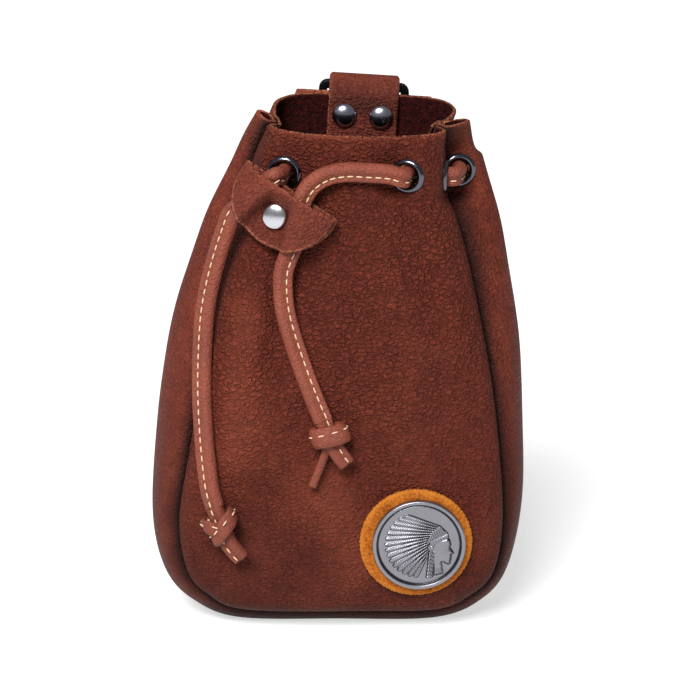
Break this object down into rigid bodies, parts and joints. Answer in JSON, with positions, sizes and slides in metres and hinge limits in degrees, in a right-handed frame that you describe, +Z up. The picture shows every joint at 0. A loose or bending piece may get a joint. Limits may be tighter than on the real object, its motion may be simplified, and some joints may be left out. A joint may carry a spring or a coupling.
{
  "type": "leather drawstring belt bag",
  "caption": "Soft brown leather drawstring belt bag with a gathered mouth, eyelets, a knotted leather cord, a half-round slider, a hanging tab with a ring, a belt loop and a round metal concho.",
  "frame": {"origin": "on the resting plane below the middle of the flat base", "axes": "+Z up from the base to the mouth, -Y out of the front panel, +X to the right seen from the front"},
  "size_m": [0.137, 0.0685, 0.1994],
  "materials": {
    "brown_leather": "waxed reddish brown, fine pebbled grain",
    "cord_leather": "smoother reddish brown with pale cut edges",
    "orange_leather": "orange suede-edged leather",
    "gunmetal": "polished dark gunmetal",
    "nickel": "bright nickel",
    "black_metal": "satin black",
    "antique_silver": "antique silver with dark recesses"
  },
  "bodies": {
    "bag": {"front_panel": "brown_leather", "gusset": "brown_leather", "back_panel": "brown_leather", "belt_loop": "brown_leather", "tab": "cord_leather", "slider_front": "cord_leather", "slider_back": "cord_leather", "cord_held": "cord_leather", "cord_right": "cord_leather", "cord_left": "cord_leather", "knot_right": "cord_leather", "knot_left": "cord_leather", "eyelet_front_left": "gunmetal", "eyelet_front_right": "gunmetal", "eyelet_return_right": "gunmetal", "eyelet_gusset_right": "gunmetal", "tab_rivet_left": "gunmetal", "tab_rivet_right": "gunmetal", "slider_rivet": "nickel", "patch_disc": "orange_leather", "medallion": "antique_silver"},
    "ring": {"hanging_ring": "black_metal"}
  },
  "joints": [
    {"name": "ring_swing", "type": "hinge", "parent": "bag", "child": "ring", "pos_m": [0.0098, 0.028, 0.19418], "axis": [0.9981, 0, -0.061], "range_deg": [0, 240]}
  ]
}
